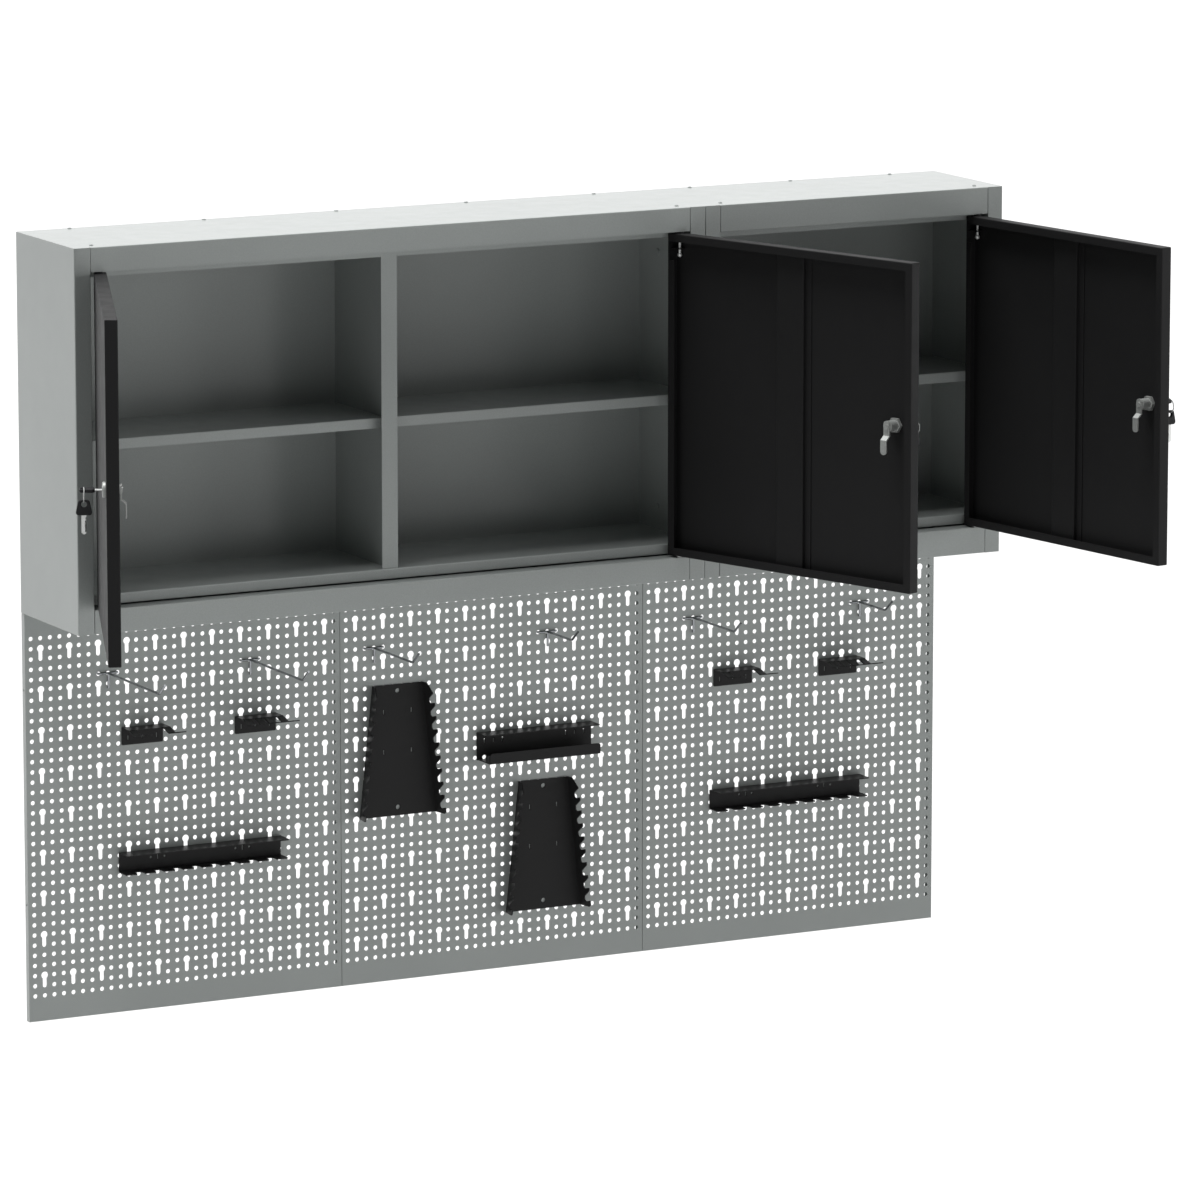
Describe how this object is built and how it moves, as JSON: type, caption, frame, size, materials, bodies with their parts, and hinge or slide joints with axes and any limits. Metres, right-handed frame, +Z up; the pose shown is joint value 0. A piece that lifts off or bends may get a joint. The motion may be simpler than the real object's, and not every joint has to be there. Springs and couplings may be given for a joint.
{
  "type": "pegboard tool wall",
  "caption": "Wall-hung workshop tool storage: steel cabinets with black hinged doors over perforated panels with hooks, racks and a tray.",
  "frame": {"origin": "the wall plane at mid-width of the set and mid-height of the two cabinets", "axes": "+X to the right along the wall, +Y into the wall, +Z up; the doors open towards -Y"},
  "size_m": [1.7334, 0.6369, 1.1516],
  "materials": {
    "grey_paint": "satin",
    "black_paint": "satin",
    "chrome_wire": "polished",
    "zinc_steel": "satin",
    "black_plastic": "matte"
  },
  "bodies": {
    "wall_set": {"wide_left_side": "grey_paint", "wide_right_side": "grey_paint", "wide_top": "grey_paint", "wide_bottom": "grey_paint", "wide_floor": "grey_paint", "wide_back": "grey_paint", "wide_divider": "grey_paint", "wide_left_shelf": "grey_paint", "wide_right_shelf": "grey_paint", "narrow_left_side": "grey_paint", "narrow_right_side": "grey_paint", "narrow_top": "grey_paint", "narrow_bottom": "grey_paint", "narrow_floor": "grey_paint", "narrow_back": "grey_paint", "narrow_shelf": "grey_paint", "left_pegboard": "grey_paint", "middle_pegboard": "grey_paint", "right_pegboard": "grey_paint", "long_hooks": "chrome_wire", "middle_hooks": "chrome_wire", "short_hooks": "chrome_wire", "two_prong_brackets": "black_paint", "four_prong_brackets": "black_paint", "left_screwdriver_rack": "black_paint", "right_screwdriver_rack": "black_paint", "upper_wrench_rack": "black_paint", "lower_wrench_rack": "black_paint", "parts_tray": "black_paint", "shelf_clips": "zinc_steel", "cabinet_screws": "zinc_steel", "joining_bolts": "zinc_steel", "upper_hinge_bushes": "black_plastic", "lower_hinge_pins": "zinc_steel"},
    "left_door_body": {"left_door": "black_paint", "left_door_stiffener": "black_paint", "left_lock_body": "chrome_wire", "left_lock_nut": "chrome_wire"},
    "left_hinge_pin_body": {"left_top_hinge_pin": "zinc_steel"},
    "left_lock_rotor": {"left_lock_cam": "chrome_wire", "left_key": "black_plastic"},
    "left_ring_body": {"left_key_ring": "zinc_steel"},
    "middle_door_body": {"middle_door": "black_paint", "middle_door_stiffener": "black_paint", "middle_lock_body": "chrome_wire", "middle_lock_nut": "chrome_wire"},
    "middle_hinge_pin_body": {"middle_top_hinge_pin": "zinc_steel"},
    "middle_lock_rotor": {"middle_lock_cam": "chrome_wire", "middle_key": "black_plastic"},
    "middle_ring_body": {"middle_key_ring": "zinc_steel"},
    "right_door_body": {"right_door": "black_paint", "right_door_stiffener": "black_paint", "right_lock_body": "chrome_wire", "right_lock_nut": "chrome_wire"},
    "right_hinge_pin_body": {"right_top_hinge_pin": "zinc_steel"},
    "right_lock_rotor": {"right_lock_cam": "chrome_wire", "right_key": "black_plastic"},
    "right_ring_body": {"right_key_ring": "zinc_steel"}
  },
  "joints": [
    {"name": "left_door_hinge", "type": "hinge", "parent": "wall_set", "child": "left_door_body", "pos_m": [-0.71098, -0.199, 0], "axis": [0, 0, -1], "range_deg": [-112, 1]},
    {"name": "left_hinge_pin_slide", "type": "slide", "parent": "left_door_body", "child": "left_hinge_pin_body", "axis": [0, 0, -1], "range_m": [0, 0.0085]},
    {"name": "left_lock_turn", "type": "hinge", "parent": "left_door_body", "child": "left_lock_rotor", "pos_m": [-0.86719, -0.58562, 0], "axis": [-0.9272, 0.3746, 0], "range_deg": [0, 90]},
    {"name": "left_key_ring_swing", "type": "hinge", "parent": "left_lock_rotor", "child": "left_ring_body", "pos_m": [-0.90263, -0.57912, -0.0055], "axis": [-0.9272, 0.3746, 0], "range_deg": [-35, 35]},
    {"name": "middle_door_hinge", "type": "hinge", "parent": "wall_set", "child": "middle_door_body", "pos_m": [0.21098, -0.199, 0], "axis": [0, 0, 1], "range_deg": [-109, 4]},
    {"name": "middle_hinge_pin_slide", "type": "slide", "parent": "middle_door_body", "child": "middle_hinge_pin_body", "axis": [0, 0, -1], "range_m": [0, 0.0085]},
    {"name": "middle_lock_turn", "type": "hinge", "parent": "middle_door_body", "child": "middle_lock_rotor", "pos_m": [0.34674, -0.59327, 0], "axis": [-0.9455, -0.3256, 0], "range_deg": [0, 90]},
    {"name": "middle_key_ring_swing", "type": "hinge", "parent": "middle_lock_rotor", "child": "middle_ring_body", "pos_m": [0.38248, -0.58863, -0.0055], "axis": [0.9455, 0.3256, 0], "range_deg": [-35, 35]},
    {"name": "right_door_hinge", "type": "hinge", "parent": "wall_set", "child": "right_door_body", "pos_m": [0.71098, -0.199, 0], "axis": [0, 0, 1], "range_deg": [-99, 14]},
    {"name": "right_hinge_pin_slide", "type": "slide", "parent": "right_door_body", "child": "right_hinge_pin_body", "axis": [0, 0, -1], "range_m": [0, 0.0085]},
    {"name": "right_lock_turn", "type": "hinge", "parent": "right_door_body", "child": "right_lock_rotor", "pos_m": [0.7723, -0.58616, 0], "axis": [-0.9877, -0.1564, 0], "range_deg": [0, 90]},
    {"name": "right_key_ring_swing", "type": "hinge", "parent": "right_lock_rotor", "child": "right_ring_body", "pos_m": [0.8083, -0.5878, -0.0055], "axis": [0.9877, 0.1564, 0], "range_deg": [-35, 35]}
  ]
}
